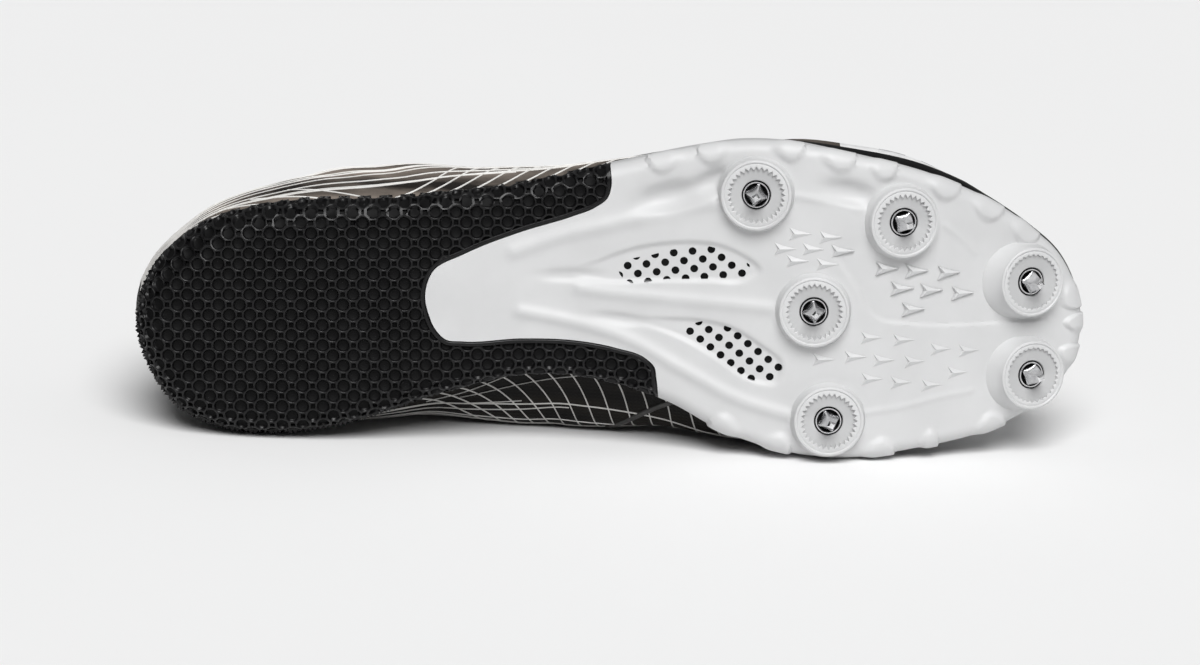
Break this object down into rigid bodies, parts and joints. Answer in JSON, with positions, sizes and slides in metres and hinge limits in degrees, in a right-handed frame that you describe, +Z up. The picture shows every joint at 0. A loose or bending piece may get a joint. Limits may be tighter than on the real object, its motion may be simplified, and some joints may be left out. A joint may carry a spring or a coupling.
{
  "type": "track spike shoe",
  "caption": "Right track spike shoe lying on its medial side: hollow fabric upper, rubber heel, stiff white forefoot plate with pierced windows and steel spikes.",
  "frame": {"origin": "centre of the bounding box on the floor that the shoe lies on", "axes": "+X towards the toe, +Y from the sole to the collar, +Z up to the lateral side"},
  "size_m": [0.2936, 0.0926, 0.0974],
  "materials": {
    "upper_fabric": "dark bronze coated textile with thin pale lines",
    "tongue_fabric": "dark mesh textile",
    "insole_fabric": "dark knitted sock liner",
    "plate_white": "white moulded plate, satin gloss",
    "outsole_rubber": "black rubber with a fine net of round pits",
    "lace_cord": "woven flat lace",
    "socket_steel": "dark plated threaded insert",
    "spike_steel": "bright plated steel",
    "rand_rubber": "thin black rand",
    "line_film": "thin welded film lines",
    "eyelet_metal": "dark eyelets",
    "lining_fabric": "brushed lining"
  },
  "bodies": {
    "root": {"upper": "upper_fabric", "tongue": "tongue_fabric", "insole": "insole_fabric", "spike_plate": "plate_white", "heel_outsole": "outsole_rubber", "laces": "lace_cord", "socket_1": "socket_steel", "socket_2": "socket_steel", "socket_3": "socket_steel", "socket_4": "socket_steel", "socket_5": "socket_steel", "socket_6": "socket_steel", "spike_1": "spike_steel", "spike_2": "spike_steel", "spike_3": "spike_steel", "spike_4": "spike_steel", "spike_5": "spike_steel", "spike_6": "spike_steel"}
  },
  "joints": []
}
